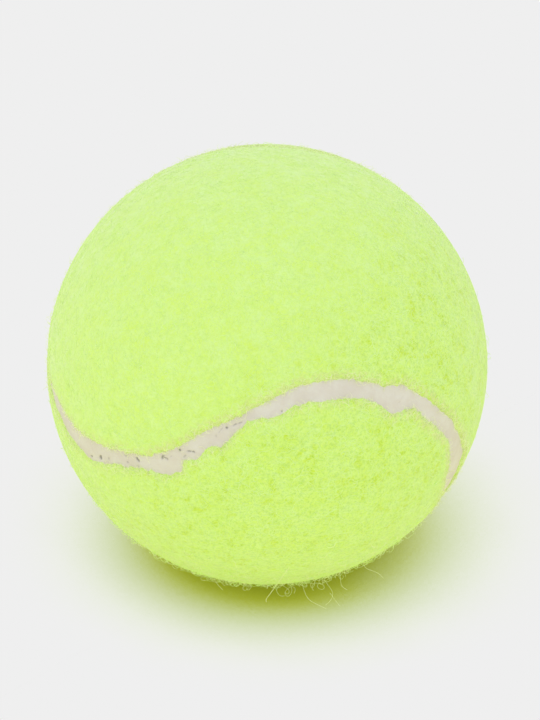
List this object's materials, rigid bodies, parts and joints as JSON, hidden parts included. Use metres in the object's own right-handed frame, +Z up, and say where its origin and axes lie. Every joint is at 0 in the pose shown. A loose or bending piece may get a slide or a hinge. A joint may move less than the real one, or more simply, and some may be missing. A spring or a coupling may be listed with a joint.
{
  "type": "tennis ball",
  "caption": "Hollow rubber ball under a bright yellow-green felt cover, cut as interlocking dog-bone panels with a pale sunk seam that winds round it.",
  "frame": {"origin": "centre of the ball", "axes": "+Z up as the ball was lying, through the core joint's centre and square to the joint; the picture looks along +Y and down, with +X to its right"},
  "size_m": [0.067, 0.067, 0.067],
  "materials": {
    "core_rubber": "matte",
    "joint_cement": "satin",
    "cover_cement": "satin",
    "felt": "matte",
    "seam_compound": "matte"
  },
  "bodies": {
    "root": {"lower_half_shell": "core_rubber", "upper_half_shell": "core_rubber", "core_joint_cement": "joint_cement", "cover_cement_coat": "cover_cement", "lower_felt_panel": "felt", "upper_felt_panel": "felt", "seam_rubber": "seam_compound"}
  },
  "joints": []
}
